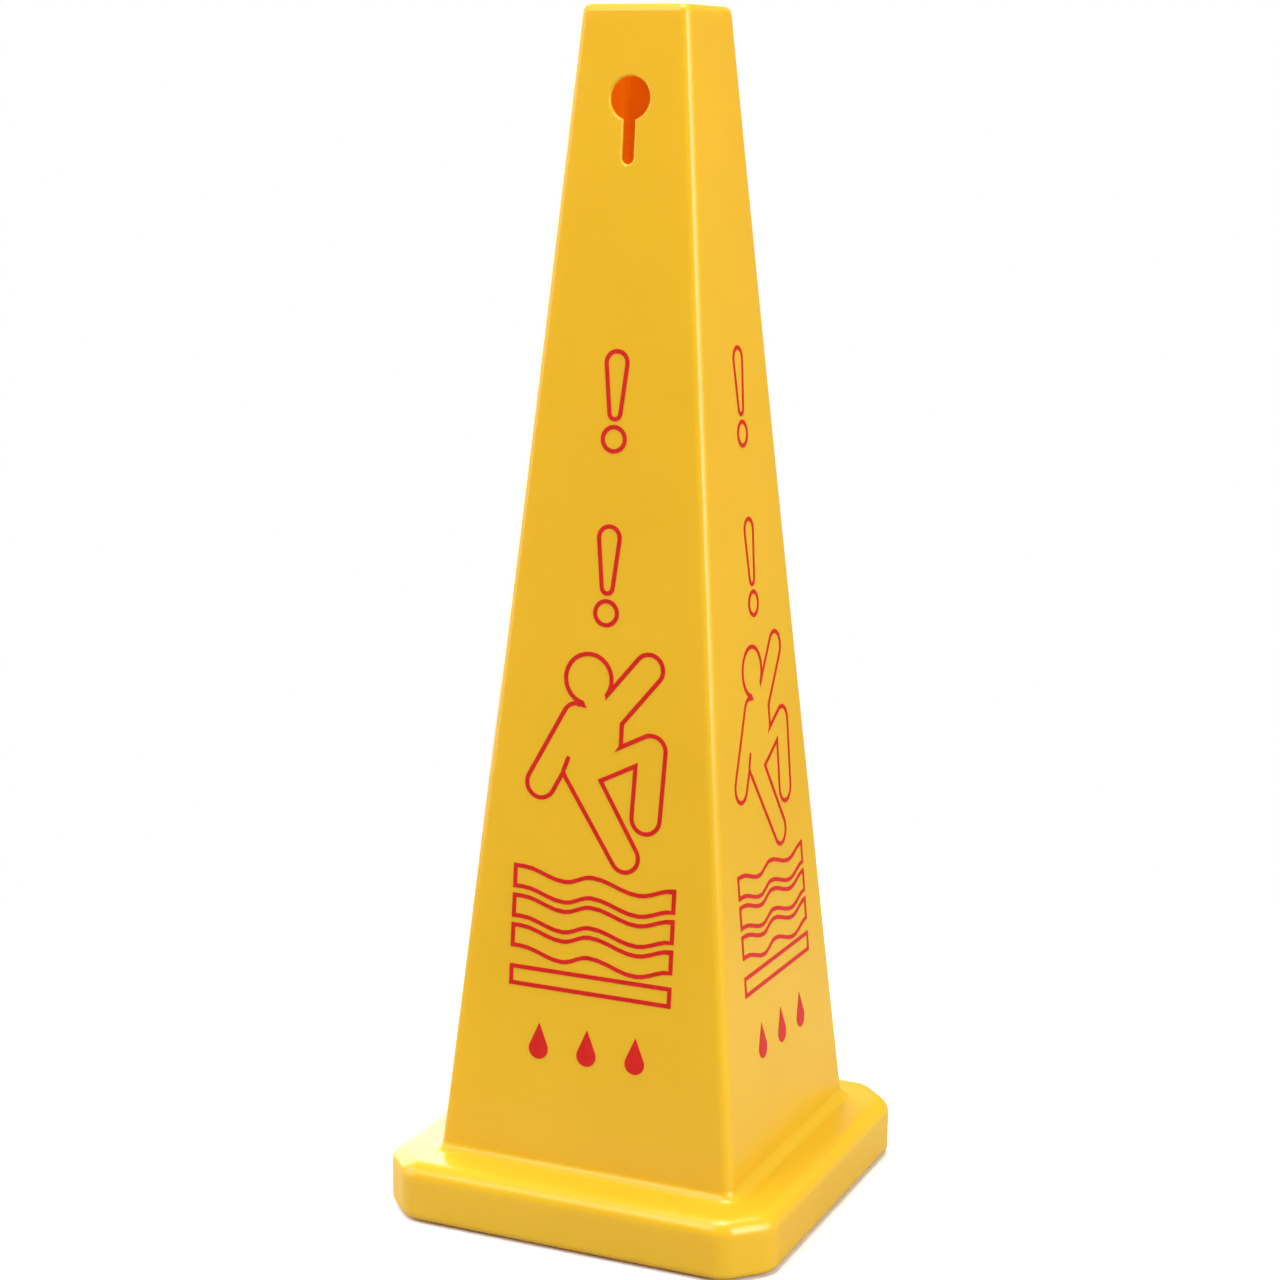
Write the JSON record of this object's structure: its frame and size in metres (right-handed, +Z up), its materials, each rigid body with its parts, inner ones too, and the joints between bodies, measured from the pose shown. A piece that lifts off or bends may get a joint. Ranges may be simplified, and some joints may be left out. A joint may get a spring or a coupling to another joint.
{
  "type": "wet floor sign",
  "caption": "Tall four-sided floor cone on a square flanged base, hollow underneath for nesting, with a chain keyhole near the top and printed slip-hazard pictures on every wall.",
  "frame": {"origin": "centre of the base at floor level, on the underside of the non-slip pads", "axes": "+Z up along the cone's axis; the front wall, with a keyhole, faces -Y, and the right wall faces +X"},
  "size_m": [0.3214, 0.3214, 0.9144],
  "materials": {
    "yellow_plastic": "smooth moulded, semi-gloss",
    "grey_rubber": "matt, fine grain",
    "red_ink": "thin satin printed ink"
  },
  "bodies": {
    "root": {"cone_shell": "yellow_plastic", "foot_pad_front_left": "grey_rubber", "foot_pad_front_right": "grey_rubber", "foot_pad_back_left": "grey_rubber", "foot_pad_back_right": "grey_rubber", "front_exclamation_stroke_upper": "red_ink", "front_exclamation_dot_upper": "red_ink", "front_exclamation_stroke_lower": "red_ink", "front_exclamation_dot_lower": "red_ink", "front_falling_figure": "red_ink", "front_wave_top": "red_ink", "front_wave_middle": "red_ink", "front_wave_bottom": "red_ink", "front_floor_bar": "red_ink", "front_drop_left": "red_ink", "front_drop_centre": "red_ink", "front_drop_right": "red_ink", "right_exclamation_stroke_upper": "red_ink", "right_exclamation_dot_upper": "red_ink", "right_exclamation_stroke_lower": "red_ink", "right_exclamation_dot_lower": "red_ink", "right_falling_figure": "red_ink", "right_wave_top": "red_ink", "right_wave_middle": "red_ink", "right_wave_bottom": "red_ink", "right_floor_bar": "red_ink", "right_drop_left": "red_ink", "right_drop_centre": "red_ink", "right_drop_right": "red_ink", "back_exclamation_stroke_upper": "red_ink", "back_exclamation_dot_upper": "red_ink", "back_exclamation_stroke_lower": "red_ink", "back_exclamation_dot_lower": "red_ink", "back_falling_figure": "red_ink", "back_wave_top": "red_ink", "back_wave_middle": "red_ink", "back_wave_bottom": "red_ink", "back_floor_bar": "red_ink", "back_drop_left": "red_ink", "back_drop_centre": "red_ink", "back_drop_right": "red_ink", "left_exclamation_stroke_upper": "red_ink", "left_exclamation_dot_upper": "red_ink", "left_exclamation_stroke_lower": "red_ink", "left_exclamation_dot_lower": "red_ink", "left_falling_figure": "red_ink", "left_wave_top": "red_ink", "left_wave_middle": "red_ink", "left_wave_bottom": "red_ink", "left_floor_bar": "red_ink", "left_drop_left": "red_ink", "left_drop_centre": "red_ink", "left_drop_right": "red_ink"}
  },
  "joints": []
}
